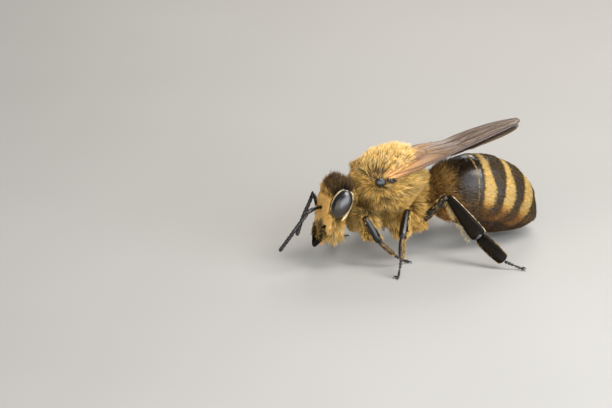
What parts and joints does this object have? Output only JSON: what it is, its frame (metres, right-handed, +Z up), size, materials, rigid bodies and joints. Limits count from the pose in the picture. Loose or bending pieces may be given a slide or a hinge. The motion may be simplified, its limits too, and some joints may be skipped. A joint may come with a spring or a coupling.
{
  "type": "honey bee model",
  "caption": "Life-size worker honey bee standing with folded wings: furry thorax, large side eyes, elbowed antennae and banded, pointed abdomen.",
  "frame": {"origin": "on the floor, under the middle of the bee's box", "axes": "+X towards the tail, so the bee faces -X; +Y to its right side; +Z up"},
  "size_m": [0.0161, 0.012, 0.0068],
  "materials": {
    "fur": "golden hair, matt and soft",
    "horn": "black-brown horn of the legs and plates, glossy",
    "eye": "black compound eye, very fine pattern, glossy",
    "wing": "clear, brown-tinted membrane with brown veins",
    "band": "dark glossy abdomen plates with golden felt bands",
    "tongue": "amber horn, half glossy"
  },
  "bodies": {
    "root": {"eye_left": "eye", "eye_right": "eye", "head": "fur", "thorax": "fur", "abdomen_1": "band", "abdomen_2": "band", "abdomen_3": "band", "abdomen_4": "band", "abdomen_5": "band", "abdomen_6": "band", "neck": "fur", "waist": "horn", "proboscis": "tongue", "mandible_left": "horn", "antenna_left_scape": "horn", "antenna_left_flagellum": "horn", "tegula_left": "horn", "forewing_left": "wing", "hindwing_left": "wing", "mandible_right": "horn", "antenna_right_scape": "horn", "antenna_right_flagellum": "horn", "tegula_right": "horn", "forewing_right": "wing", "hindwing_right": "wing", "leg_left_fore_coxa": "fur", "leg_left_fore_femur": "horn", "leg_left_fore_tibia": "horn", "leg_left_fore_basitarsus": "horn", "leg_left_fore_foot": "horn", "leg_left_mid_coxa": "fur", "leg_left_mid_femur": "horn", "leg_left_mid_tibia": "horn", "leg_left_mid_basitarsus": "horn", "leg_left_mid_foot": "horn", "leg_left_hind_coxa": "fur", "leg_left_hind_femur": "horn", "leg_left_hind_tibia": "horn", "leg_left_hind_basitarsus": "horn", "leg_left_hind_foot": "horn", "leg_right_fore_coxa": "fur", "leg_right_fore_femur": "horn", "leg_right_fore_tibia": "horn", "leg_right_fore_basitarsus": "horn", "leg_right_fore_foot": "horn", "leg_right_mid_coxa": "fur", "leg_right_mid_femur": "horn", "leg_right_mid_tibia": "horn", "leg_right_mid_basitarsus": "horn", "leg_right_mid_foot": "horn", "leg_right_hind_coxa": "fur", "leg_right_hind_femur": "horn", "leg_right_hind_tibia": "horn", "leg_right_hind_basitarsus": "horn", "leg_right_hind_foot": "horn"}
  },
  "joints": []
}
